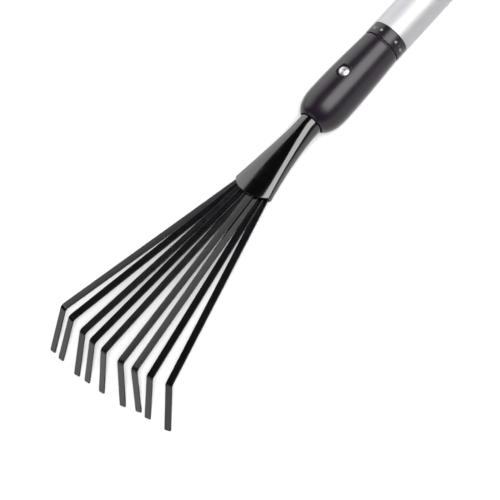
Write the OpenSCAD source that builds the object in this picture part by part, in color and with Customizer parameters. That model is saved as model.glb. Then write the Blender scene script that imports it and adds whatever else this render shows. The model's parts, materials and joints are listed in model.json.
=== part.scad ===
// Telescopic leaf rake: nine spring tines in a steel ferrule on a twist-lock handle.
// Tool frame: the handle axis is +Y, and y = 0 is the seam between lock collar and socket.
// The finished tool is then laid down on its outer tine tips and its grip flange.

/* [Handle] */
// Outside diameter of the outer tube
outer_d = 28; // [27:0.5:30]
// Outside diameter of the inner tube
inner_d = 24; // [23.5:0.1:24]
// Wall of both tubes
tube_wall = 1; // [0.8:0.1:1]
// Far end of the outer tube
outer_end = 340; // [330:5:420]
// Far end of the inner tube when the handle is closed
inner_end = 295; // [270:1:296]
// Length of the grip sleeve
grip_len = 120; // [80:5:150]
// Outside diameter of the grip
grip_d = 32; // [31:0.5:34]
// Outside diameter of the grip's end flange
grip_flange_d = 35; // [34:0.5:38]
// Diameter of the hanging hole
hang_hole_d = 8; // [6:0.5:9]

/* [Lock] */
// Visible length of the lock collar
collar_len = 9.5; // [8:0.5:12]
// Gap between the collar and the socket
seam_gap = 0.5; // [0.4:0.1:1]
// Radial clearance of the inner tube in the collar
slide_clearance = 0.08; // [0.05:0.01:0.1]
// Offset of the eccentric journal from the handle axis
cam_offset = 0.8; // [0.5:0.1:1]
// Outside diameter of the split cam ring
cam_ring_d = 25.3; // [25:0.1:25.4]

/* [Socket] */
// Length of the plastic socket
socket_len = 71; // [69:0.5:74]
// Diameter at the seam
socket_top_d = 27.6; // [27:0.1:28]
// Largest diameter
socket_max_d = 31.8; // [31.5:0.1:33]
// Distance of the largest diameter from the seam
socket_max_at = 53; // [50:0.5:55]
// Distance of the cross screw from the seam
screw_at = 33.5; // [30:0.5:36]

/* [Ferrule] */
// Outside diameter of the round neck
neck_d = 16.4; // [16:0.1:16.8]
// Distance of the mouth's foremost point from the seam
mouth_at = 137; // [136:0.5:140]
// Width of the flattened mouth
mouth_w = 34; // [33.4:0.1:36]
// Height of the mouth in its middle
mouth_h = 5.6; // [5.4:0.1:7]
// Radius of the mouth's edge, seen from above
mouth_r = 24.5; // [22:0.5:30]
// Sheet thickness
ferrule_wall = 1; // [0.8:0.1:1]

/* [Tines] */
// Width of a tine
tine_w = 5.1; // [4.6:0.1:5.2]
// Thickness of a tine
tine_t = 1; // [0.8:0.05:1]
// Sideways distance between neighbouring roots
root_pitch = 3.2; // [3.1:0.05:3.3]
// Leg length from the root line to the bend
leg_len = 140.5; // [120:0.5:150]
// Length of the bent-down tip
tip_len = 38.5; // [30:0.5:42]
// Angle of the bend
bend_angle = 59; // [50:1:65]
// Inner radius of the bend
bend_r = 3; // [2:0.5:4]
// Downward pitch of the fan
fan_pitch = 1.6; // [1:0.1:2]
// Slant of the cut tip end
tip_slant = 14; // [5:1:20]

/* [Hidden] */
$fn = 72;

// Tine roots: the two next to the middle lie on top, the others step down outwards.
tine_level = [3, 2, 1, 0, 1.2, 0, 1, 2, 3];
level_step = tine_t + 0.05;
top_level_z = 0.75;
root_line = 134;
root_inside = 14;
root_w = 3.2;
// Each tine is bent by hand, so its direction, lengths and bend differ a little.
tine_yaw = [-14.7, -11.4, -6.8, -3.6, -0.7, 4.4, 7.5, 11.1, 15.6];
tine_roll = [-1, 2, 0, 1, -1, -3, -4, 0, 0];
leg_trim = [-1, 0, 1, 1.5, 1.5, 1.5, 0.5, -1, -2];
tip_trim = [1, 0.5, 0, 0, 0, 0, -1, -1, -0.5];
bend_trim = [-6, -4, -2, 1, 3, 4, 6, 2, -1];
bend_skew = [5, 2, 4, -2, -2, 1, -1, -8, -4];
tip_corner_r = 1;
corner_steps = 3;
bend_steps = 10;
// A station this near the bend's start belongs to the bend
bend_slack = 0.001;

outer_r = outer_d / 2;
outer_bore_r = outer_r - tube_wall;
inner_r = inner_d / 2;
inner_bore_r = inner_r - tube_wall;
neck_r = neck_d / 2;
collar_end = seam_gap + collar_len;
sleeve_len = 28;
tube_seat = 42;
neck_top = 24;

// Cam lock stations along the handle
cam_flange_r = 12.4;
cam_flange_t = 3;
journal_len = 20;
journal_r = 8;
ring_gap = 0.4;
cam_ring_t = 2.9;
ring_slot = 3;
plug_depth = 26;
pin_r = 1.5;
pin_at = inner_end - 13;

// M4 cross screw and its nut
screw_r = 2;
screw_hole_r = 2.2;
screw_head_r = 3.8;
screw_head_h = 2.2;
head_seat_z = 13.2;
counterbore_r = 4.6;
hex_key_r = 1.45;
hex_key_depth = 1.4;
nut_r = 4.04;
nut_pocket_r = 4.2;
nut_t = 3.2;

// Socket outline
dome_len = 21;
dome_power = 2.4;
dome_steps = 14;
mouth_bore_r = 9;
mouth_bore_depth = 7;
seam_chamfer = 0.5;

// Ferrule loft
loft_start = 72;
flare_start = 76;
flare_width_curve = 1.5;
flare_height_curve = 0.85;
flare_len = mouth_at - flare_start;
loft_step = 3.4;
loft_sides = 48;
loft_lap = 1;
loft_rise = 0.05;
mouth_power = 5;
mouth_arch = 0.0135;
mouth_mid_z = 0.25;

// End cap
cap_r = 16.5;
cap_plug_len = 16;
tab_r = 13;
tab_t = 9;
tab_at = outer_end + 17;
cap_flare = 9;

// Laying the tool down: it rests on its lowest tip and on the grip flange
flange_r = grip_flange_d / 2;
flange_t = 5;
lie_angle = max([
    for (k = [0:8]) atan2(-tip_low_z(k) - flange_r, outer_end - tip_low_y(k))
]);
lie_z = outer_end * sin(lie_angle) + flange_r * cos(lie_angle);
fan_left = min([for (k = [0:8]) tip_side(k, -1)]);
fan_right = max([for (k = [0:8]) tip_side(k, 1)]);
lie_x = -(fan_left + fan_right) / 2;
back_y = tab_at * cos(lie_angle) + tab_r;
front_y = min([for (k = [0:8]) tip_front(k)]);
lie_y = -(back_y + front_y) / 2;

function root_x(k) = (k - 4) * root_pitch;
function root_z(k) = top_level_z - tine_level[k] * level_step;

function leg_of(k) = leg_len + leg_trim[k];
function tip_of(k) = tip_len + tip_trim[k];
function bend_of(k) = bend_angle + bend_trim[k];

// Lowest point of tine k, where its tip meets the ground
function tip_low_z(k) =
    let (pitch = fan_pitch + bend_of(k))
    root_z(k) - leg_of(k) * sin(fan_pitch) + tine_t / 2 * cos(fan_pitch)
    - tip_of(k) * sin(pitch) - tine_t * cos(pitch);
function tip_low_y(k) =
    -root_line - leg_of(k) * cos(fan_pitch) * cos(tine_yaw[k])
    - tip_of(k) * cos(fan_pitch + bend_of(k)) * cos(tine_yaw[k] + bend_skew[k]);

// Furthest point sideways of tine k: its edge at the bend or along the tip
function tip_side(k, side) =
    let (bend_x = root_x(k) + leg_of(k) * cos(fan_pitch) * sin(tine_yaw[k]))
    let (yaw = tine_yaw[k] + bend_skew[k], run = tip_of(k) * cos(fan_pitch + bend_of(k)))
    side * max(side * bend_x, side * (bend_x + run * sin(yaw))) + side * tine_w / 2 * cos(yaw);

// Foremost point of tine k once the tool lies down
function tip_front(k) =
    tip_low_y(k) * cos(lie_angle)
    + (root_z(k) - leg_of(k) * sin(fan_pitch)
    - tip_of(k) * sin(fan_pitch + bend_of(k))) * sin(lie_angle);

// Places a sub-part of the tool frame where it is when the tool lies on the ground
module lay() {
    translate([lie_x, lie_y, lie_z]) rotate([-lie_angle, 0, 0]) children();
}

// Solid of revolution about the handle axis: profile x is the radius, profile y is y
module turned() {
    rotate([-90, 0, 0]) rotate_extrude() children();
}

// Cylinder along the handle axis from y0 to y1
module rod(r, y0, y1) {
    translate([0, y0, 0]) rotate([-90, 0, 0]) cylinder(r = r, h = y1 - y0);
}

// Tube along the handle axis
module pipe(r_out, r_in, y0, y1) {
    difference() {
        rod(r_out, y0, y1);
        rod(r_in, y0 - 1, y1 + 1);
    }
}

module outer_tube() {
    color([0.82, 0.83, 0.85])
    lay() pipe(outer_r, outer_bore_r, collar_end, outer_end);
}

module lock_collar() {
    bore_r = inner_r + slide_clearance;
    edge = 0.4;
    color([0.09, 0.09, 0.1])
    lay() turned() polygon([
        [bore_r, seam_gap],
        [outer_r - edge, seam_gap],
        [outer_r, seam_gap + edge],
        [outer_r, collar_end],
        [outer_bore_r, collar_end],
        [outer_bore_r, collar_end + sleeve_len],
        [bore_r, collar_end + sleeve_len]
    ]);
}

module grip() {
    grip_start = outer_end - grip_len;
    grip_r = grip_d / 2;
    rib_pitch = 8;
    rib_count = floor((grip_len - 34) / rib_pitch);
    groove_r = 1.2;
    color([0.1, 0.1, 0.11])
    lay() turned() difference() {
        polygon([
            [outer_r, grip_start],
            [grip_r - 1, grip_start],
            [grip_r, grip_start + 2],
            [grip_r, outer_end - flange_t - 3],
            [flange_r, outer_end - flange_t],
            [flange_r, outer_end],
            [outer_r, outer_end]
        ]);
        for (i = [0:rib_count])
            translate([grip_r + 0.4, grip_start + 14 + i * rib_pitch]) circle(r = groove_r, $fn = 24);
    }
}

module end_cap() {
    color([0.09, 0.09, 0.1])
    lay() difference() {
        union() {
            rod(outer_bore_r, outer_end - cap_plug_len, outer_end);
            turned() polygon([
                [0, outer_end],
                [cap_r, outer_end],
                [cap_r, outer_end + 3],
                [tab_r - 1, outer_end + cap_flare],
                [0, outer_end + cap_flare]
            ]);
            translate([-tab_t / 2, tab_at, 0]) rotate([0, 90, 0]) cylinder(r = tab_r, h = tab_t);
        }
        translate([-cap_r, tab_at, 0]) rotate([0, 90, 0]) cylinder(d = hang_hole_d, h = 2 * cap_r);
    }
}

// Plastic plug of the inner tube, with the eccentric journal between two flanges
module cam_plug() {
    journal_end = inner_end + cam_flange_t + journal_len;
    color([0.85, 0.83, 0.78])
    lay() difference() {
        union() {
            rod(inner_bore_r, inner_end - plug_depth, inner_end);
            rod(cam_flange_r, inner_end, inner_end + cam_flange_t);
            translate([0, 0, cam_offset]) rod(journal_r, inner_end + cam_flange_t, journal_end);
            rod(cam_flange_r, journal_end, journal_end + cam_flange_t);
        }
        translate([0, pin_at, -inner_r]) cylinder(r = pin_r, h = inner_d);
    }
}

// Split ring that drags in the outer tube, so the journal can jam it when the tubes turn
module cam_ring() {
    ring_start = inner_end + cam_flange_t + ring_gap;
    ring_r = cam_ring_d / 2;
    ring_len = journal_len - 2 * ring_gap;
    color([0.75, 0.2, 0.15])
    lay() difference() {
        pipe(ring_r, ring_r - cam_ring_t, ring_start, ring_start + ring_len);
        translate([-ring_slot / 2, ring_start - 1, -ring_r - 1]) cube([ring_slot, ring_len + 2, ring_r]);
    }
}

module plug_pin() {
    color([0.7, 0.7, 0.72])
    lay() translate([0, pin_at, -inner_r + 0.2]) cylinder(r = pin_r, h = inner_d - 0.4);
}

module inner_tube() {
    color([0.78, 0.79, 0.81])
    lay() difference() {
        pipe(inner_r, inner_bore_r, -tube_seat, inner_end);
        translate([0, pin_at, -inner_r]) cylinder(r = pin_r, h = inner_d);
        cross_hole();
    }
}

// Clearance hole of the cross screw
module cross_hole() {
    translate([0, -screw_at, -outer_r - 2]) cylinder(r = screw_hole_r, h = outer_d + 4);
}

// Radius of the socket's dome at a distance past its widest point
function dome_r(s) = socket_max_d / 2 * pow(1 - pow(s / dome_len, dome_power), 1 / dome_power);

module socket() {
    top_r = socket_top_d / 2;
    max_r = socket_max_d / 2;
    dome_span = socket_len - socket_max_at - 0.6;
    lip_r = dome_r(dome_span) - 0.8;
    color([0.11, 0.1, 0.11])
    lay() difference() {
        turned() polygon(concat(
            [[neck_r, -socket_len + mouth_bore_depth],
             [neck_r, -tube_seat],
             [inner_r, -tube_seat],
             [inner_r, 0],
             [top_r - seam_chamfer, 0],
             [top_r, -seam_chamfer],
             [max_r - 0.1, -socket_max_at + 3]],
            [for (i = [0:dome_steps]) let (s = dome_span * i / dome_steps) [dome_r(s), -socket_max_at - s]],
            [[lip_r, -socket_len],
             [mouth_bore_r, -socket_len],
             [mouth_bore_r, -socket_len + mouth_bore_depth]]
        ));
        cross_hole();
        translate([0, -screw_at, head_seat_z]) cylinder(r = counterbore_r, h = 5);
        translate([0, -screw_at, -max_r - 1]) rotate([0, 0, 30])
            cylinder(r = nut_pocket_r, h = max_r + 1 - inner_r, $fn = 6);
    }
}

// Bush between the inner tube and the ferrule's neck
module neck_bush() {
    color([0.2, 0.2, 0.21])
    lay() difference() {
        pipe(inner_bore_r, neck_r, -tube_seat, -neck_top);
        cross_hole();
    }
}

module head_screw() {
    dome_rise = 0.9;
    rim_h = screw_head_h - dome_rise - 0.5;
    dome_sphere_r = (screw_head_r * screw_head_r + pow(dome_rise + 0.5, 2)) / (2 * (dome_rise + 0.5));
    shank_len = head_seat_z + inner_r + nut_t;
    color([0.8, 0.8, 0.82])
    lay() translate([0, -screw_at, head_seat_z]) difference() {
        union() {
            intersection() {
                cylinder(r = screw_head_r, h = screw_head_h);
                translate([0, 0, screw_head_h - dome_sphere_r]) sphere(r = dome_sphere_r);
            }
            translate([0, 0, -shank_len]) cylinder(r = screw_r, h = shank_len);
        }
        translate([0, 0, screw_head_h - hex_key_depth]) rotate([0, 0, 12])
            cylinder(r = hex_key_r, h = hex_key_depth + 1, $fn = 6);
    }
}

module head_nut() {
    color([0.75, 0.75, 0.77])
    lay() translate([0, -screw_at, -inner_r - nut_t]) difference() {
        rotate([0, 0, 30]) cylinder(r = nut_r, h = nut_t, $fn = 6);
        translate([0, 0, -1]) cylinder(r = screw_r, h = nut_t + 2);
    }
}

// How far the ferrule has flared at distance d from the seam: 0 at the neck, 1 at the mouth
function flare(d) = max(0, min(1, (d - flare_start) / flare_len));
function flare_half_w(d) = neck_r + loft_rise + (mouth_w / 2 - neck_r) * pow(flare(d), flare_width_curve);
function flare_half_h(d) = neck_r + loft_rise - (neck_r - mouth_h / 2) * pow(flare(d), flare_height_curve);
function flare_power(d) = 2 + (mouth_power - 2) * pow(flare(d), 1.5);
function signed_pow(v, p) = sign(v) * pow(abs(v), p);

// One cross-section of the ferrule, drawn in by inset, with loft_sides points
function flare_ring(d, inset) =
    let (half_w = flare_half_w(d) - inset, half_h = flare_half_h(d) - inset)
    let (p = 2 / flare_power(d), arch = mouth_arch * flare(d), mid_z = mouth_mid_z * flare(d))
    [for (i = [0:loft_sides - 1])
        let (a = 360 * i / loft_sides, x = half_w * signed_pow(cos(a), p))
        [x, -d, mid_z + half_h * signed_pow(sin(a), p) - arch * x * x]];

// Closed loft through the ferrule's cross-sections
module flare_loft(inset, start, end) {
    count = ceil((end - start) / loft_step);
    rings = [for (j = [0:count]) flare_ring(start + (end - start) * j / count, inset)];
    last = count * loft_sides;
    polyhedron(
        points = [for (ring = rings) for (point = ring) point],
        faces = concat(
            [[for (i = [0:loft_sides - 1]) i]],
            [for (j = [0:count - 1]) for (i = [0:loft_sides - 1])
                let (n = (i + 1) % loft_sides, a = j * loft_sides)
                [a + n, a + i, a + loft_sides + i]],
            [for (j = [0:count - 1]) for (i = [0:loft_sides - 1])
                let (n = (i + 1) % loft_sides, a = j * loft_sides)
                [a + n, a + loft_sides + i, a + loft_sides + n]],
            [[for (i = [loft_sides - 1:-1:0]) last + i]]
        )
    );
}

// What is cut off to leave the mouth's curved front edge
module mouth_trim() {
    reach = mouth_w;
    difference() {
        translate([-reach, -mouth_at - 10, -reach]) cube([2 * reach, mouth_r + 10, 2 * reach]);
        translate([0, -mouth_at + mouth_r, -reach - 1]) cylinder(r = mouth_r, h = 2 * reach + 2);
    }
}

module ferrule() {
    color([0.05, 0.05, 0.055])
    lay() difference() {
        union() {
            rod(neck_r, -loft_start - loft_lap, -neck_top);
            flare_loft(0, loft_start, mouth_at + 3);
        }
        rod(neck_r - ferrule_wall, -loft_start - 3 * loft_lap, -neck_top + 1);
        flare_loft(ferrule_wall, loft_start + 2 * loft_lap, mouth_at + 6);
        mouth_trim();
        cross_hole();
    }
}

// Flat pattern of a tine: its left and right edge points, from the root to the slanted tip
function tine_stations(bend_start, arc, length) =
    let (half = tine_w / 2, inset = half - tip_corner_r)
    let (left_y = tip_corner_r - length, right_y = left_y + 2 * inset * tan(tip_slant))
    concat(
        [[[-root_w / 2, root_inside], [root_w / 2, root_inside]], [[-half, 0], [half, 0]]],
        [for (i = [0:bend_steps]) let (y = -bend_start - arc * i / bend_steps)
            [[-half, y], [half, y]]],
        [for (i = [0:corner_steps])
            let (a = 180 + (90 - tip_slant) * i / corner_steps)
            let (b = 360 - (90 + tip_slant) * i / corner_steps)
            [[-inset + tip_corner_r * cos(a), left_y + tip_corner_r * sin(a)],
             [inset + tip_corner_r * cos(b), right_y + tip_corner_r * sin(b)]]]
    );

// Where a point of the flat pattern goes once the strip is bent down across its skewed line
function bent(p, z, bend_start, arc, skew) =
    let (mid_r = bend_r + tine_t / 2, past = -p[1] - bend_start)
    past < -bend_slack ? [p[0], p[1], z] :
    let (turn = min(past, arc) / mid_r * 180 / PI, straight = max(0, past - arc))
    let (y = -(mid_r + z) * sin(turn) - straight * cos(turn))
    [p[0] * cos(skew) - y * sin(skew), p[0] * sin(skew) + y * cos(skew) - bend_start,
     (mid_r + z) * cos(turn) - straight * sin(turn) - mid_r];

// One tine: a flat strip with a tapered root, bent down near its end
module tine(k) {
    angle = bend_of(k);
    setback = (bend_r + tine_t) * tan(angle / 2);
    bend_start = leg_of(k) - setback;
    arc = (bend_r + tine_t / 2) * angle * PI / 180;
    stations = tine_stations(bend_start, arc, bend_start + arc + tip_of(k) - setback);
    last = 4 * (len(stations) - 1);
    points = [for (s = stations) for (q = [[s[0], -1], [s[1], -1], [s[1], 1], [s[0], 1]])
        bent(q[0], q[1] * tine_t / 2, bend_start, arc, bend_skew[k])];
    walls = [for (i = [0:4:last - 4]) for (j = [0:3]) let (n = (j + 1) % 4)
        for (half = [[i + 4 + j, i + 4 + n, i + n], [i + 4 + j, i + n, i + j]]) half];
    color([0.07, 0.07, 0.075])
    lay() translate([root_x(k), -root_line, root_z(k)])
    rotate([0, 0, tine_yaw[k]]) rotate([fan_pitch, 0, 0]) rotate([0, tine_roll[k], 0])
    polyhedron(points, concat(walls, [[0, 1, 2, 3], [last + 3, last + 2, last + 1, last]]));
}

module tine_1() { tine(0); }
module tine_2() { tine(1); }
module tine_3() { tine(2); }
module tine_4() { tine(3); }
module tine_5() { tine(4); }
module tine_6() { tine(5); }
module tine_7() { tine(6); }
module tine_8() { tine(7); }
module tine_9() { tine(8); }

outer_tube();
lock_collar();
grip();
end_cap();
cam_ring();
cam_plug();
plug_pin();
inner_tube();
socket();
neck_bush();
head_screw();
head_nut();
ferrule();
tine_1();
tine_2();
tine_3();
tine_4();
tine_5();
tine_6();
tine_7();
tine_8();
tine_9();
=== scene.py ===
"""Leaf rake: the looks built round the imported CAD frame. All lengths are in metres."""
import json
from math import atan2, cos, pi, radians, sin, sqrt, tan

import bmesh
import bpy
from mathutils import Matrix, Vector


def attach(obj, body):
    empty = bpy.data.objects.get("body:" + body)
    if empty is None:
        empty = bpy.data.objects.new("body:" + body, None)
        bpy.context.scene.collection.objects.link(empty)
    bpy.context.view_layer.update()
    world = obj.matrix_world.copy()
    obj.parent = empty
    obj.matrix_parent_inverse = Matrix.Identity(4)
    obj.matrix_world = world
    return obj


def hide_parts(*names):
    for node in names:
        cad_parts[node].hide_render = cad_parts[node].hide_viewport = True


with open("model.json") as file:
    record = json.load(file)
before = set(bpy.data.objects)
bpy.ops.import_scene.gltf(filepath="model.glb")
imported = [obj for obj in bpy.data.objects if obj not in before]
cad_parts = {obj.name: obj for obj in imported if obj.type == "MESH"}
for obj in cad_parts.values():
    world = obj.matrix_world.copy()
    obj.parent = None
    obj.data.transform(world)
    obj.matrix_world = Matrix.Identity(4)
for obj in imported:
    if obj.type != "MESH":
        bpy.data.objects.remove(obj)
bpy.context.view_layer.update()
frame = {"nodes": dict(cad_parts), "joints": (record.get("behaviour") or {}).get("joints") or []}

MM = 0.001

# ---------------------------------------------------------------- driving dimensions, in mm
# They repeat the part's own sizes, along the handle axis from the seam: the socket side is negative.
TUBE_R, TUBE_WALL = 14.0, 1.0
INNER_R = 12.0
SEAM_GAP, COLLAR_END = 0.5, 10.0
COLLAR_BORE_R, SLEEVE_END = 12.08, 38.0
INK_LIFT = 0.04
OUTER_END, GRIP_LEN = 340.0, 120.0
GRIP_R, FLANGE_R = 16.0, 17.5
SOCKET_TOP_R, SOCKET_MAX_R, SOCKET_LEN, SOCKET_MAX_AT = 13.8, 15.9, 71.0, 53.0
DOME_LEN, DOME_POWER = 21.0, 2.4
SCREW_AT, HEAD_R, HEAD_H, HEAD_SEAT = 33.5, 3.8, 2.2, 13.2
NECK_R, MOUTH_AT, MOUTH_W, MOUTH_H, MOUTH_R = 8.2, 137.0, 34.0, 5.6, 24.5
FERRULE_WALL, FLARE_START = 1.0, 76.0
FLARE_WIDTH_CURVE, FLARE_HEIGHT_CURVE, FLARE_CORNER_CURVE = 1.5, 0.85, 1.5
MOUTH_ARCH, MOUTH_MID_Z, MOUTH_POWER, RIM_ROUND = 0.0135, 0.25, 5.0, 0.45
TINE_W, TINE_T, ROOT_W, ROOT_INSIDE, ROOT_LINE = 5.1, 1.0, 3.2, 14.0, 134.0
ROOT_PITCH, LEVEL_STEP, TOP_LEVEL_Z = 3.2, 1.05, 0.75
LEG_LEN, TIP_LEN, BEND_ANGLE, BEND_R = 140.5, 38.5, 59.0, 3.0
FAN_PITCH, TIP_SLANT, TIP_CORNER_R = 1.6, 14.0, 1.0
# One row per tine: level under the top layer, yaw, roll, then small differences of its leg, its tip,
# its bend and the skew of its bend line. All but the levels come from a least-squares fit made by a
# separate script; some rolls and tips were changed by hand afterwards.
TINES = [
    (3, -14.7, -1.0, -1.0, 1.0, -6, 5),
    (2, -11.4, 2.0, 0.0, 0.5, -4, 2),
    (1, -6.8, 0.0, 1.0, 0.0, -2, 4),
    (0, -3.6, 1.0, 1.5, 0.0, 1, -2),
    (1.2, -0.7, -1.0, 1.5, 0.0, 3, -2),
    (0, 4.4, -3.0, 1.5, 0.0, 4, 1),
    (1, 7.5, -4.0, 0.5, -1.0, 6, -1),
    (2, 11.1, 0.0, -1.0, -1.0, 2, -8),
    (3, 15.6, 0.0, -2.0, -0.5, -1, -4),
]

# ---------------------------------------------------------------- the tool frame
twist = next(j for j in frame["joints"] if j["name"] == "lock_twist")
ACROSS = Vector((1, 0, 0))
ALONG = -Vector(twist["axis"]).normalized()   # from the head towards the grip
UPRIGHT = ACROSS.cross(ALONG)                 # out of the fan's upper face


def reach(node):
    """Nearest and furthest distance of a CAD node along the handle axis from the twist joint."""
    pivot = Vector(twist["pos_m"])
    d = [(v.co - pivot).dot(ALONG) for v in frame["nodes"][node].data.vertices]
    return min(d), max(d)


SEAM = Vector(twist["pos_m"]) + ALONG * (reach("lock_collar")[0] - SEAM_GAP * MM)
TOOL = Matrix.Translation(SEAM) @ Matrix((ACROSS, ALONG, UPRIGHT)).transposed().to_4x4()
TOOL_MM = TOOL @ Matrix.Scale(MM, 4)


# ---------------------------------------------------------------- mesh helpers
def finish_piece(obj, body, nodes, material):
    """Gives a finished piece its material and its body, and hides the CAD nodes it stands for."""
    obj.data.materials.clear()
    obj.data.materials.append(material)
    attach(obj, body)
    if nodes:
        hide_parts(*nodes)
    return obj


def new_object(name, bm, smooth_angle=32, place=TOOL_MM):
    """An object from a bmesh in tool millimetres; edges sharper than smooth_angle stay crisp."""
    bmesh.ops.remove_doubles(bm, verts=bm.verts, dist=1e-5)
    bmesh.ops.recalc_face_normals(bm, faces=bm.faces)
    for face in bm.faces:
        face.smooth = True
    for edge in bm.edges:
        edge.smooth = len(edge.link_faces) != 2 or edge.calc_face_angle(0) < radians(smooth_angle)
    bm.transform(place)
    mesh = bpy.data.meshes.new(name)
    bm.to_mesh(mesh)
    bm.free()
    obj = bpy.data.objects.new(name, mesh)
    bpy.context.scene.collection.objects.link(obj)
    return obj


def weighted(obj):
    """Lets the large faces set the shading, so narrow bevels look like rounded edges."""
    modifier = obj.modifiers.new("weighted", "WEIGHTED_NORMAL")
    modifier.keep_sharp = True
    return obj


def bake_modifiers(obj):
    """Replaces the mesh with its modified form."""
    bpy.context.view_layer.update()
    done = bpy.data.meshes.new_from_object(obj.evaluated_get(bpy.context.evaluated_depsgraph_get()))
    obj.modifiers.clear()
    obj.data = done
    return obj


def filleted(points, radii, steps=5):
    """Closed outline with its corners rounded; radii holds one radius per corner."""
    out = []
    count = len(points)
    for i, radius in enumerate(radii):
        here = Vector(points[i])
        back = Vector(points[i - 1]) - here
        ahead = Vector(points[(i + 1) % count]) - here
        if radius <= 0:
            out.append(tuple(here))
            continue
        half = back.angle(ahead) / 2
        cut = min(radius / tan(half), 0.49 * back.length, 0.49 * ahead.length)
        r = cut * tan(half)
        centre = here + (back.normalized() + ahead.normalized()).normalized() * (r / sin(half))
        start = here + back.normalized() * cut - centre
        end = here + ahead.normalized() * cut - centre
        sweep = start.angle_signed(end)
        for k in range(steps + 1):
            spin = Matrix.Rotation(-sweep * k / steps, 2)
            out.append(tuple(centre + spin @ start))
    return out


def lathe(outline, segments=128):
    """Ring-shaped solid round the handle axis: outline is a closed loop of (radius, y)."""
    bm = bmesh.new()
    rings = []
    for k in range(segments):
        a = 2 * pi * k / segments
        rings.append([bm.verts.new((r * sin(a), y, r * cos(a))) for r, y in outline])
    count = len(outline)
    for k in range(segments):
        here, there = rings[k], rings[(k + 1) % segments]
        for i in range(count):
            j = (i + 1) % count
            bm.faces.new((here[i], here[j], there[j], there[i]))
    return bm


def subtract(obj, cutter_bm):
    """Cuts a bmesh in tool millimetres out of an object."""
    cutter = new_object("cutter", cutter_bm)
    modifier = obj.modifiers.new("cut", "BOOLEAN")
    modifier.operation = "DIFFERENCE"
    modifier.solver = "EXACT"
    modifier.object = cutter
    bake_modifiers(obj)
    mesh = cutter.data
    bpy.data.objects.remove(cutter)
    bpy.data.meshes.remove(mesh)
    return obj


def prism(outline, low, high, at=(0, 0)):
    """Solid between two heights over a closed outline in the plane across the screw."""
    bm = bmesh.new()
    bottom = [bm.verts.new((at[0] + x, at[1] + y, low)) for x, y in outline]
    top = [bm.verts.new((at[0] + x, at[1] + y, high)) for x, y in outline]
    bm.faces.new(bottom)
    bm.faces.new(top)
    for i in range(len(outline)):
        j = (i + 1) % len(outline)
        bm.faces.new((bottom[i], bottom[j], top[j], top[i]))
    bmesh.ops.recalc_face_normals(bm, faces=bm.faces)
    return bm


def regular(radius, count, turn=0.0):
    """Corners of a regular polygon round the origin."""
    angles = [2 * pi * k / count + turn for k in range(count)]
    return [(radius * cos(a), radius * sin(a)) for a in angles]


# ---------------------------------------------------------------- materials
def material(name):
    """A new node material: returns it with its tree and its Principled shader."""
    mat = bpy.data.materials.new(name)
    mat.use_nodes = True
    return mat, mat.node_tree, mat.node_tree.nodes["Principled BSDF"]


def noise(tree, coords, scale, detail=4.0, roughness=0.55):
    node = tree.nodes.new("ShaderNodeTexNoise")
    node.inputs["Scale"].default_value = scale
    node.inputs["Detail"].default_value = detail
    node.inputs["Roughness"].default_value = roughness
    tree.links.new(coords, node.inputs["Vector"])
    return node.outputs["Fac"]


def coordinates(tree, scale=(1, 1, 1)):
    """Object coordinates, which are the row frame's metres, turned into the tool's own frame and scaled."""
    source = tree.nodes.new("ShaderNodeTexCoord")
    turn = tree.nodes.new("ShaderNodeMapping")
    turn.inputs["Rotation"].default_value = (atan2(-ALONG.z, ALONG.y), 0, 0)
    turn.inputs["Scale"].default_value = scale
    tree.links.new(source.outputs["Object"], turn.inputs["Vector"])
    return turn.outputs["Vector"]


def spread(tree, value, low, high, start=0.3, end=0.7):
    """Maps a 0 to 1 pattern onto low to high."""
    node = tree.nodes.new("ShaderNodeMapRange")
    node.inputs["From Min"].default_value = start
    node.inputs["From Max"].default_value = end
    node.inputs["To Min"].default_value = low
    node.inputs["To Max"].default_value = high
    tree.links.new(value, node.inputs["Value"])
    return node.outputs["Result"]


def tint(tree, value, dark, light):
    """Mixes two colours by a 0 to 1 pattern."""
    node = tree.nodes.new("ShaderNodeValToRGB")
    node.color_ramp.elements[0].position = 0.3
    node.color_ramp.elements[0].color = (*dark, 1)
    node.color_ramp.elements[1].position = 0.7
    node.color_ramp.elements[1].color = (*light, 1)
    tree.links.new(value, node.inputs["Fac"])
    return node.outputs["Color"]


def bump(tree, shader, value, height, strength=1.0):
    """Raises the surface by a pattern; height is in metres."""
    node = tree.nodes.new("ShaderNodeBump")
    node.inputs["Strength"].default_value = strength
    node.inputs["Distance"].default_value = height
    tree.links.new(value, node.inputs["Height"])
    tree.links.new(node.outputs["Normal"], shader.inputs["Normal"])


def satin_plastic(name, dark, light, rough_low, rough_high, grain=2600, grain_height=0.000012):
    """Moulded plastic: a fine even grain with slow changes of gloss."""
    mat, tree, shader = material(name)
    where = coordinates(tree)
    slow = noise(tree, where, 45, 3)
    tree.links.new(tint(tree, slow, dark, light), shader.inputs["Base Color"])
    gloss = spread(tree, noise(tree, where, 160, 4), rough_low, rough_high)
    tree.links.new(gloss, shader.inputs["Roughness"])
    bump(tree, shader, noise(tree, where, grain, 2), grain_height, 0.35)
    shader.inputs["IOR"].default_value = 1.38
    return mat


def anodised(name):
    """Satin anodised aluminium: fine drawn lines along the tube under an even bead-blasted bloom."""
    mat, tree, shader = material(name)
    lines = noise(tree, coordinates(tree, (1, 0.012, 1)), 5200, 3)
    bloom = noise(tree, coordinates(tree), 30, 3)
    tree.links.new(tint(tree, bloom, (0.425, 0.42, 0.435), (0.46, 0.455, 0.47)), shader.inputs["Base Color"])
    tree.links.new(spread(tree, lines, 0.56, 0.66), shader.inputs["Roughness"])
    bump(tree, shader, lines, 0.00002, 0.25)
    shader.inputs["Metallic"].default_value = 1.0
    shader.inputs["Anisotropic"].default_value = 0.3
    return mat


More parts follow.
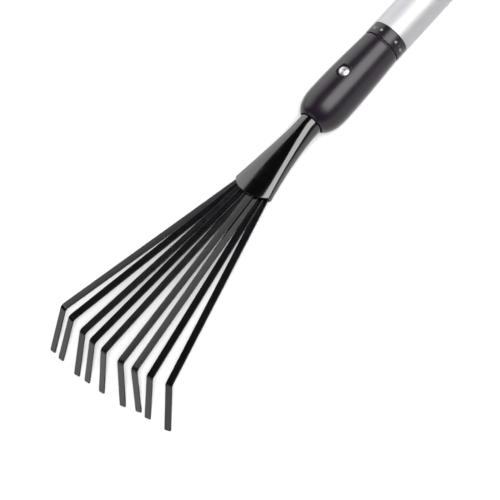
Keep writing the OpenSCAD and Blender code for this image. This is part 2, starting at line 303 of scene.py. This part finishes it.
def gloss_paint(name):
    """Gloss black stove enamel on pressed steel: slight orange peel and dust nibs."""
    mat, tree, shader = material(name)
    where = coordinates(tree)
    tree.links.new(tint(tree, noise(tree, where, 60, 3), (0.0002, 0.0002, 0.0003), (0.0005, 0.0005, 0.0006)),
                   shader.inputs["Base Color"])
    tree.links.new(spread(tree, noise(tree, where, 220, 4), 0.10, 0.16), shader.inputs["Roughness"])
    bump(tree, shader, noise(tree, where, 520, 2), 0.00004, 0.12)
    shader.inputs["IOR"].default_value = 1.62
    return mat


def tine_paint(name):
    """Semi-gloss black paint on spring steel, a little greyer in patches."""
    mat, tree, shader = material(name)
    where = coordinates(tree)
    tree.links.new(tint(tree, noise(tree, where, 90, 4), (0.0006, 0.0004, 0.0007), (0.0014, 0.0011, 0.0016)),
                   shader.inputs["Base Color"])
    tree.links.new(spread(tree, noise(tree, where, 260, 4), 0.13, 0.19), shader.inputs["Roughness"])
    bump(tree, shader, noise(tree, where, 700, 2), 0.00001, 0.15)
    shader.inputs["IOR"].default_value = 1.46
    return mat


def bright_steel(name, low=0.40, high=0.50, colour=(0.55, 0.55, 0.56)):
    """Turned or plated steel with fine marks and slow stains."""
    mat, tree, shader = material(name)
    where = coordinates(tree)
    dark = tuple(c * 0.85 for c in colour)
    tree.links.new(tint(tree, noise(tree, where, 300, 4), dark, colour), shader.inputs["Base Color"])
    tree.links.new(spread(tree, noise(tree, where, 900, 4), low, high), shader.inputs["Roughness"])
    bump(tree, shader, noise(tree, where, 2500, 2), 0.00001, 0.2)
    shader.inputs["Metallic"].default_value = 1.0
    return mat


def grip_rubber(name):
    """Soft ribbed rubber: matt, with a fine leathery grain."""
    mat, tree, shader = material(name)
    where = coordinates(tree)
    tree.links.new(tint(tree, noise(tree, where, 50, 4), (0.016, 0.016, 0.017), (0.028, 0.028, 0.029)),
                   shader.inputs["Base Color"])
    tree.links.new(spread(tree, noise(tree, where, 200, 4), 0.55, 0.72), shader.inputs["Roughness"])
    grain = tree.nodes.new("ShaderNodeTexVoronoi")
    grain.inputs["Scale"].default_value = 1500
    tree.links.new(where, grain.inputs["Vector"])
    bump(tree, shader, grain.outputs["Distance"], 0.00008, 0.5)
    return mat


def ink(name):
    """Grey pad-printed ink with a fine speckle of tone."""
    mat, tree, shader = material(name)
    speckle = noise(tree, coordinates(tree), 3500, 3)
    tree.links.new(tint(tree, speckle, (0.085, 0.085, 0.09), (0.16, 0.16, 0.165)),
                   shader.inputs["Base Color"])
    tree.links.new(spread(tree, speckle, 0.45, 0.6), shader.inputs["Roughness"])
    return mat


MAT = {
    "anodised_tube": anodised("anodised_aluminium"),
    "collar_plastic": satin_plastic("collar_plastic", (0.0028, 0.0018, 0.0030), (0.0042, 0.0028, 0.0046),
                                    0.28, 0.34),
    "socket_plastic": satin_plastic("socket_plastic", (0.0036, 0.0020, 0.0040), (0.0054, 0.0030, 0.0060),
                                    0.28, 0.34),
    "cap_plastic": satin_plastic("cap_plastic", (0.012, 0.012, 0.013), (0.018, 0.018, 0.019), 0.35, 0.46),
    "cam_ring_plastic": satin_plastic("cam_ring_plastic", (0.45, 0.06, 0.04), (0.55, 0.08, 0.05), 0.30, 0.42),
    "plug_plastic": satin_plastic("plug_plastic", (0.55, 0.53, 0.48), (0.64, 0.62, 0.56), 0.35, 0.48),
    "grip_rubber": grip_rubber("grip_rubber"),
    "ferrule_paint": gloss_paint("gloss_enamel"),
    "tine_paint": tine_paint("tine_paint"),
    "stainless_screw": bright_steel("stainless_steel"),
    "zinc_steel": bright_steel("zinc_plated_steel", 0.24, 0.36, (0.62, 0.63, 0.66)),
}
INK = ink("printed_ink")


# ---------------------------------------------------------------- the handle
def outer_tube():
    """Drawn aluminium tube with its cut ends broken by a fine chamfer."""
    bore = TUBE_R - TUBE_WALL
    outline = filleted(
        [(bore, COLLAR_END), (TUBE_R, COLLAR_END), (TUBE_R, OUTER_END), (bore, OUTER_END)],
        [0, 0.25, 0.25, 0])
    obj = new_object("outer_tube_metal", lathe(outline))
    finish_piece(obj, "handle", ["outer_tube"], MAT["anodised_tube"])


def inner_tube():
    start, end = (d / MM - (SEAM - Vector(twist["pos_m"])).dot(ALONG) / MM for d in reach("inner_tube"))
    outline = filleted(
        [(INNER_R - TUBE_WALL, start), (INNER_R, start), (INNER_R, end), (INNER_R - TUBE_WALL, end)],
        [0, 0.2, 0.2, 0])
    obj = new_object("inner_tube_metal", lathe(outline))
    finish_piece(obj, "head", ["inner_tube"], MAT["anodised_tube"])


def lock_collar():
    """Moulded collar: a flush band outside and a thin guide sleeve inside the tube."""
    bore = TUBE_R - TUBE_WALL
    outline = filleted(
        [(COLLAR_BORE_R, SEAM_GAP), (TUBE_R, SEAM_GAP), (TUBE_R, COLLAR_END), (bore, COLLAR_END),
         (bore, SLEEVE_END), (COLLAR_BORE_R, SLEEVE_END)],
        [0.3, 0.55, 0.3, 0, 0.3, 0.3])
    obj = new_object("lock_collar_shell", lathe(outline))
    finish_piece(obj, "handle", ["lock_collar"], MAT["collar_plastic"])


def printed(name, shapes):
    """Flat closed outlines printed on the collar, as (distance round it, distance along it)."""
    bm = bmesh.new()
    for outline in shapes:
        low, high = [], []
        for u, v in outline:
            for ring, lift in ((low, -0.02), (high, INK_LIFT)):
                r = TUBE_R + lift
                ring.append(bm.verts.new((r * sin(u / TUBE_R), v, r * cos(u / TUBE_R))))
        bm.faces.new(low)
        bm.faces.new(high)
        for i in range(len(outline)):
            j = (i + 1) % len(outline)
            bm.faces.new((low[i], low[j], high[j], high[i]))
    obj = new_object(name, bm, 30)
    finish_piece(obj, "handle", [], INK)


def box_outline(left, low, right, high):
    return [(left, low), (right, low), (right, high), (left, high)]


def padlock(at, middle, swing):
    """Outlines of a small padlock sign; swing moves the hoop sideways when the lock is open."""
    half_w, low, high, outer, inner, hoop_up = 1.15, -1.6, 0.2, 0.85, 0.5, 0.7
    centre, steps = at + swing, 7
    shapes = [box_outline(at - half_w, middle + low, at + half_w, middle + high)]
    for k in range(steps):
        a, b = pi * k / steps, pi * (k + 1) / steps
        shapes.append([(centre + r * cos(t), middle + hoop_up + r * sin(t))
                       for r, t in ((outer, a), (inner, a), (inner, b), (outer, b))])
    for side in (-1, 1):
        leg = centre + side * (outer + inner) / 2
        shapes.append(box_outline(leg - (outer - inner) / 2, middle + high,
                                  leg + (outer - inner) / 2, middle + hoop_up))
    return shapes


def arrow(tail, tip, middle):
    """Outline of a straight arrow round the collar."""
    way = 1 if tip > tail else -1
    neck = tip - way * 1.9
    return [[(tail, middle - 0.3), (neck, middle - 0.3), (neck, middle + 0.3), (tail, middle + 0.3)],
            [(neck, middle - 1.25), (tip, middle), (neck, middle + 1.25)]]


def lock_marks():
    """The two direction signs of the twist lock: closed to one side, open to the other."""
    middle = (SEAM_GAP + COLLAR_END) / 2
    printed("lock_marks", padlock(-6.6, middle, 0.0) + arrow(-4.2, 1.2, middle)
            + arrow(17.0, 11.6, middle) + padlock(20.0, middle, 1.1)
            + [box_outline(u - 0.35, middle - 0.35, u + 0.35, middle + 0.35) for u in (23.2, 24.7)])


def grip():
    """Ribbed rubber sleeve with a stop flange."""
    start = OUTER_END - GRIP_LEN
    outline = filleted([(TUBE_R, start), (GRIP_R, start), (GRIP_R, OUTER_END), (TUBE_R, OUTER_END)],
                       [0, 1.6, 0, 0])[:-2]
    pitch, depth, half = 8.0, 1.0, 1.5
    for i in range(int((GRIP_LEN - 34) / pitch) + 1):
        middle = start + 14 + i * pitch
        for k in range(9):
            s = -1 + k / 4
            outline.append((GRIP_R - depth * cos(s * pi / 2) ** 1.5, middle + s * half))
    neck = OUTER_END - 8.0
    outline += [(GRIP_R, neck)]
    outline += [(GRIP_R + (FLANGE_R - GRIP_R) * (1 - cos(pi * k / 6)) / 2, neck + 3.5 * k / 6)
                for k in range(1, 7)]
    outline += [(FLANGE_R, OUTER_END - 0.9), (FLANGE_R - 0.25, OUTER_END - 0.25), (FLANGE_R - 0.9, OUTER_END),
                (TUBE_R, OUTER_END)]
    obj = new_object("grip_sleeve", lathe(outline), 50)
    finish_piece(obj, "handle", ["grip"], MAT["grip_rubber"])


def rounded_copy(node, name, body, slot, width):
    """A CAD node's own mesh with its edges rounded."""
    bm = bmesh.new()
    bm.from_mesh(frame["nodes"][node].data)
    bmesh.ops.remove_doubles(bm, verts=bm.verts, dist=2e-6)
    bmesh.ops.dissolve_limit(bm, angle_limit=radians(1), verts=bm.verts, edges=bm.edges)
    sharp = [e for e in bm.edges if len(e.link_faces) == 2 and e.calc_face_angle(0) > radians(35)]
    bmesh.ops.bevel(bm, geom=sharp, offset=width * MM, segments=3, profile=0.5, affect="EDGES",
                    clamp_overlap=True)
    obj = new_object(name, bm, 40, Matrix.Identity(4))
    weighted(obj)
    finish_piece(obj, body, [node], MAT[slot])


# ---------------------------------------------------------------- socket and screw
def dome(s):
    """Socket radius at a distance past its widest point."""
    return SOCKET_MAX_R * (1 - (s / DOME_LEN) ** DOME_POWER) ** (1 / DOME_POWER)


def socket():
    span = SOCKET_LEN - SOCKET_MAX_AT - 0.6
    steps = 28
    outline = [(SOCKET_TOP_R - 0.5, 0), (SOCKET_TOP_R - 0.2, -0.12), (SOCKET_TOP_R, -0.5)]
    ramp = 24
    for i in range(1, ramp):
        y = -SOCKET_MAX_AT * i / ramp
        outline.append((SOCKET_TOP_R + (SOCKET_MAX_R - SOCKET_TOP_R) * sin(pi / 2 * (i / ramp)) ** 1.12, y))
    outline += [(dome(span * i / steps), -SOCKET_MAX_AT - span * i / steps) for i in range(steps + 1)]
    lip_r, lip_mid = 0.55, dome(span) - 1.0
    outline += [(lip_mid + lip_r * cos(a), -SOCKET_LEN + lip_r - lip_r * sin(a))
                for a in [pi * k / 10 for k in range(1, 10)]]
    outline += [(9.0, -SOCKET_LEN + 1.6), (9.0, -SOCKET_LEN + 7.0), (NECK_R, -SOCKET_LEN + 7.0),
                (NECK_R, -42), (INNER_R, -42), (INNER_R, 0)]
    obj = new_object("socket_shell", lathe(outline, 192), 45)
    at = (0, -SCREW_AT)
    subtract(obj, prism(regular(4.6, 96), HEAD_SEAT, 20, at))
    subtract(obj, prism(regular(2.2, 48), -20, 20, at))
    subtract(obj, prism(regular(4.2, 6, radians(30)), -20, -INNER_R, at))
    finish_piece(obj, "head", ["socket"], MAT["socket_plastic"])


def head_screw():
    """Button-head screw: domed head, hexagon recess, plain shank."""
    rise = 1.4
    ball = (HEAD_R ** 2 + rise ** 2) / (2 * rise)
    edge = HEAD_H - rise
    half = [(0.0, HEAD_SEAT - 28), (2.0, HEAD_SEAT - 28), (2.0, HEAD_SEAT), (HEAD_R - 0.15, HEAD_SEAT),
            (HEAD_R, HEAD_SEAT + 0.15), (HEAD_R, HEAD_SEAT + edge)]
    for k in range(1, 15):
        r = HEAD_R * (1 - k / 14)
        half.append((r, HEAD_SEAT + HEAD_H - ball + sqrt(ball ** 2 - r ** 2)))
    bm = bmesh.new()
    segments = 72
    columns = []
    for k in range(segments):
        a = 2 * pi * k / segments
        columns.append([bm.verts.new((r * cos(a), -SCREW_AT + r * sin(a), z)) for r, z in half])
    for k in range(segments):
        here, there = columns[k], columns[(k + 1) % segments]
        for i in range(len(half) - 1):
            bm.faces.new((here[i], here[i + 1], there[i + 1], there[i]))
    bmesh.ops.remove_doubles(bm, verts=bm.verts, dist=1e-4)
    obj = new_object("head_screw_metal", bm)
    top = HEAD_SEAT + HEAD_H
    subtract(obj, prism(regular(1.45, 6, radians(12)), top - 1.7, top + 1, (0, -SCREW_AT)))
    finish_piece(obj, "head", ["head_screw"], MAT["stainless_screw"])


# ---------------------------------------------------------------- ferrule
def flare(d):
    return max(0.0, min(1.0, (d - FLARE_START) / (MOUTH_AT - FLARE_START)))


def signed_pow(v, p):
    return (1 if v >= 0 else -1) * abs(v) ** p


def ferrule_point(d, inset, a):
    """Point of the ferrule's cross-section at distance d from the seam and at angle a round it."""
    f = flare(d)
    half_w = NECK_R + (MOUTH_W / 2 - NECK_R) * f ** FLARE_WIDTH_CURVE - inset
    half_h = NECK_R - (NECK_R - MOUTH_H / 2) * f ** FLARE_HEIGHT_CURVE - inset
    power = 2 / (2 + (MOUTH_POWER - 2) * f ** FLARE_CORNER_CURVE)
    x = half_w * signed_pow(cos(a), power)
    return x, MOUTH_MID_Z * f + half_h * signed_pow(sin(a), power) - MOUTH_ARCH * f * x * x


def mouth_edge(x):
    """Distance of the mouth's edge from the seam at a place across it."""
    return MOUTH_AT - MOUTH_R + sqrt(max(0.0, MOUTH_R ** 2 - x * x))


def ferrule():
    """Pressed sheet: outer skin, rolled rim that follows the mouth's curve, and inner skin."""
    sides, rows = 192, 80
    outer_start, inner_start, neck_top, neck_end = 72.0, 74.0, 24.0, 60.0
    turns = [2 * pi * k / sides for k in range(sides)]
    bm = bmesh.new()

    def neck_ring(radius, d):
        return [bm.verts.new((radius * cos(a), -d, radius * sin(a))) for a in turns]

    def edge_ring(inset, setback, share=1.0, start=outer_start):
        """A ring that runs evenly from round the neck to along the mouth's curved edge."""
        ring = []
        for a in turns:
            x = ferrule_point(start + (MOUTH_AT - start) * share, inset, a)[0]
            d = start + (mouth_edge(x) - setback - start) * share
            px, pz = ferrule_point(d, inset, a)
            ring.append(bm.verts.new((px, -d, pz)))
        return ring

    loop = [neck_ring(NECK_R - 0.15, neck_top), neck_ring(NECK_R, neck_top + 0.15),
            neck_ring(NECK_R, neck_end)]
    loop += [edge_ring(0.0, RIM_ROUND, i / rows) for i in range(rows + 1)]
    for k in range(1, 6):
        a = pi * k / 6
        loop.append(edge_ring(FERRULE_WALL / 2 * (1 - cos(a)), RIM_ROUND * (1 - sin(a))))
    loop += [edge_ring(FERRULE_WALL, RIM_ROUND, i / rows, inner_start) for i in range(rows, -1, -1)]
    loop += [neck_ring(NECK_R - FERRULE_WALL, neck_end), neck_ring(NECK_R - FERRULE_WALL, neck_top)]
    for i, here in enumerate(loop):
        there = loop[(i + 1) % len(loop)]
        for k in range(sides):
            m = (k + 1) % sides
            bm.faces.new((here[k], here[m], there[m], there[k]))
    obj = new_object("ferrule_shell", bm, 60)
    finish_piece(obj, "head", ["ferrule"], MAT["ferrule_paint"])


# ---------------------------------------------------------------- tines
def tine_outline(length):
    """Flat outline of a tine, root at +y, with a slanted end and rounded tip corners."""
    half = TINE_W / 2
    inset = half - TIP_CORNER_R
    rise = inset * tan(radians(TIP_SLANT))
    points = [(ROOT_W / 2, ROOT_INSIDE), (-ROOT_W / 2, ROOT_INSIDE), (-half, 0)]
    for x, y, first, last in ((-inset, -length + TIP_CORNER_R, 180, 270 - TIP_SLANT),
                              (inset, -length + TIP_CORNER_R + 2 * rise, 270 - TIP_SLANT, 360)):
        for k in range(7):
            a = radians(first + (last - first) * k / 6)
            points.append((x + TIP_CORNER_R * cos(a), y + TIP_CORNER_R * sin(a)))
    points.append((half, 0))
    return points


def bent(point, bend_start, arc, skew):
    """Moves a point of the flat tine to its place once the strip is bent across its skewed line."""
    x, y, z = point
    past = -y - bend_start
    if past < -1e-4:
        return x, y, z
    mid_r = BEND_R + TINE_T / 2
    turn = max(0.0, min(past, arc)) / mid_r
    straight = max(0.0, past - arc)
    py = -(mid_r + z) * sin(turn) - straight * cos(turn)
    pz = (mid_r + z) * cos(turn) - straight * sin(turn) - mid_r
    return x * cos(skew) - py * sin(skew), x * sin(skew) + py * cos(skew) - bend_start, pz


def tine(index):
    level, yaw, roll, leg_trim, tip_trim, bend_trim, skew = TINES[index]
    bend = radians(BEND_ANGLE + bend_trim)
    setback = (BEND_R + TINE_T) * tan(bend / 2)
    bend_start = LEG_LEN + leg_trim - setback
    arc = (BEND_R + TINE_T / 2) * bend
    outline = tine_outline(bend_start + arc + TIP_LEN + tip_trim - setback)
    bm = bmesh.new()
    low = [bm.verts.new((x, y, -TINE_T / 2)) for x, y in outline]
    high = [bm.verts.new((x, y, TINE_T / 2)) for x, y in outline]
    bm.faces.new(low)
    bm.faces.new(high)
    for i in range(len(outline)):
        j = (i + 1) % len(outline)
        bm.faces.new((low[i], low[j], high[j], high[i]))
    bmesh.ops.recalc_face_normals(bm, faces=bm.faces)
    rims = [e for e in bm.edges if abs(e.verts[0].co.z - e.verts[1].co.z) < 1e-6]
    bmesh.ops.bevel(bm, geom=rims, offset=0.22, segments=3, profile=0.5, affect="EDGES")
    cuts = [-(bend_start + arc * k / 16) for k in range(17)]
    cuts += [-10.0 * k for k in range(int(bend_start / 10) + 1)]
    cuts += [-(bend_start + arc + 6.0 * k) for k in range(1, 5)]
    for y in cuts:
        parts = bm.verts[:] + bm.edges[:] + bm.faces[:]
        bmesh.ops.bisect_plane(bm, geom=parts, plane_co=(0, y, 0), plane_no=(0, 1, 0), dist=1e-4)
    for vert in bm.verts:
        vert.co = bent(vert.co, bend_start, arc, radians(skew))
    place = (Matrix.Translation(((index - 4) * ROOT_PITCH, -ROOT_LINE, TOP_LEVEL_Z - level * LEVEL_STEP))
             @ Matrix.Rotation(radians(yaw), 4, "Z") @ Matrix.Rotation(radians(FAN_PITCH), 4, "X")
             @ Matrix.Rotation(radians(roll), 4, "Y"))
    name = "tine_%d" % (index + 1)
    obj = weighted(new_object(name + "_blade", bm, 60, TOOL_MM @ place))
    finish_piece(obj, "head", [name], MAT["tine_paint"])


# ---------------------------------------------------------------- build everything
outer_tube()
inner_tube()
lock_collar()
lock_marks()
grip()
rounded_copy("end_cap", "end_cap_shell", "handle", "cap_plastic", 0.8)
socket()
head_screw()
ferrule()
for number in range(9):
    tine(number)
rounded_copy("head_nut", "head_nut_metal", "head", "zinc_steel", 0.25)
for carried, slot_name in (("cam_ring", "cam_ring_plastic"), ("cam_plug", "plug_plastic"),
                           ("plug_pin", "zinc_steel"), ("neck_bush", "plug_plastic")):
    node_mesh = frame["nodes"][carried].data
    node_mesh.materials.clear()
    node_mesh.materials.append(MAT[slot_name])


# ---------------------------------------------------------------- floor, lights and camera
def studio_floor():
    bm = bmesh.new()
    size, cells = 6.0, 12
    bmesh.ops.create_grid(bm, x_segments=cells, y_segments=cells, size=size)
    mesh = bpy.data.meshes.new("studio_floor")
    bm.to_mesh(mesh)
    bm.free()
    floor = bpy.data.objects.new("studio_floor", mesh)
    bpy.context.scene.collection.objects.link(floor)
    mat, tree, shader = material("white_paper")
    tree.links.new(tint(tree, noise(tree, coordinates(tree), 3, 2), (0.44, 0.44, 0.44), (0.46, 0.46, 0.46)),
                   shader.inputs["Base Color"])
    shader.inputs["Roughness"].default_value = 0.9
    shader.inputs["Specular IOR Level"].default_value = 0.1
    mesh.materials.append(mat)


# The view: the fan's face is rolled off the line of sight, and the handle leans away from it.
VIEW_ROLL, VIEW_TILT, PICTURE_TURN = radians(30.65), radians(12.68), radians(47.65)
CAMERA_DISTANCE, LENS_MM, SENSOR_MM = 1.5, 161.9, 36.0
SEAM_RIGHT, SEAM_UP = 0.0873, 0.1353   # where the seam lies from the middle of the view

# Tool axes seen from the camera: x right, y up, z towards the viewer
handle_flat = Vector((cos(PICTURE_TURN), sin(PICTURE_TURN), 0))
side_flat = Vector((sin(PICTURE_TURN), -cos(PICTURE_TURN), 0))
seen_along = handle_flat * cos(VIEW_TILT) - Vector((0, 0, 1)) * sin(VIEW_TILT)
facing = handle_flat * sin(VIEW_TILT) + Vector((0, 0, 1)) * cos(VIEW_TILT)
seen_across = side_flat * cos(VIEW_ROLL) + facing * sin(VIEW_ROLL)
seen_upright = facing * cos(VIEW_ROLL) - side_flat * sin(VIEW_ROLL)
tool_in_view = Matrix((seen_across, seen_along, seen_upright)).transposed()
view_axes = Matrix((ACROSS, ALONG, UPRIGHT)).transposed() @ tool_in_view.transposed()
RIGHT, UP, BACK = view_axes.col[0].copy(), view_axes.col[1].copy(), view_axes.col[2].copy()


def camera():
    data = bpy.data.cameras.new("camera")
    data.lens = LENS_MM
    data.sensor_width = SENSOR_MM
    data.clip_end = 50
    obj = bpy.data.objects.new("camera", data)
    bpy.context.scene.collection.objects.link(obj)
    place = SEAM + BACK * CAMERA_DISTANCE - RIGHT * SEAM_RIGHT - UP * SEAM_UP
    obj.matrix_world = Matrix.Translation(place) @ view_axes.to_4x4()
    bpy.context.scene.camera = obj


def softbox(name, start, end, lean, distance, length, radiance):
    """A rectangular soft light whose long side runs with the handle.

    start and end are the angles that it spans round the handle, from the camera's side; lean is how
    far it leans towards the grip."""
    side = ALONG.cross(BACK).normalized()
    front = side.cross(ALONG).normalized()
    turn, lean = radians((start + end) / 2), radians(lean)
    out = (front * cos(turn) + side * sin(turn)) * cos(lean) + ALONG * sin(lean)
    width = 2 * distance * tan(radians(end - start) / 2)
    across = ALONG.cross(out).normalized()
    place = Matrix.Translation(SEAM - ALONG * 0.08 + out * distance)
    area_light(name, place @ Matrix((across, out.cross(across), out)).transposed().to_4x4(),
               width, length, radiance)


def area_light(name, place, width, height, radiance):
    data = bpy.data.lights.new(name, "AREA")
    data.shape = "RECTANGLE"
    data.size, data.size_y = width, height
    data.energy = radiance * width * height * pi
    obj = bpy.data.objects.new(name, data)
    bpy.context.scene.collection.objects.link(obj)
    obj.matrix_world = place
    obj.visible_camera = False
    return obj


def lights():
    softbox("front_box", -21, 24, 14, 1.2, 1.2, 8.0)
    softbox("left_box", -118, -67, 8, 1.3, 1.9, 2.6)
    softbox("right_box", 44, 59, 8, 1.5, 1.9, 0.5)
    low = (-ALONG * 0.93 - ACROSS * 0.25 + UPRIGHT * 0.22).normalized()
    level = low.cross(UPRIGHT).normalized() * -1
    place = Matrix.Translation(SEAM - ALONG * 0.2 + low * 1.4)
    area_light("low_box", place @ Matrix((level, low.cross(level), low)).transposed().to_4x4(), 1.0, 0.3, 2.6)
    # Lights the floor from the camera's own direction, so that it shows white between the tines
    place = Matrix.Translation(SEAM + BACK * 2.2 - RIGHT * SEAM_RIGHT - UP * SEAM_UP) @ view_axes.to_4x4()
    area_light("floor_fill", place, 0.3, 0.3, 265.0).visible_glossy = False
    world = bpy.data.worlds.new("studio")
    world.use_nodes = True
    world.node_tree.nodes["Background"].inputs["Color"].default_value = (1, 1, 1, 1)
    world.node_tree.nodes["Background"].inputs["Strength"].default_value = 0.03
    bpy.context.scene.world = world


studio_floor()
camera()
lights()
bpy.context.scene.view_settings.view_transform = "Standard"
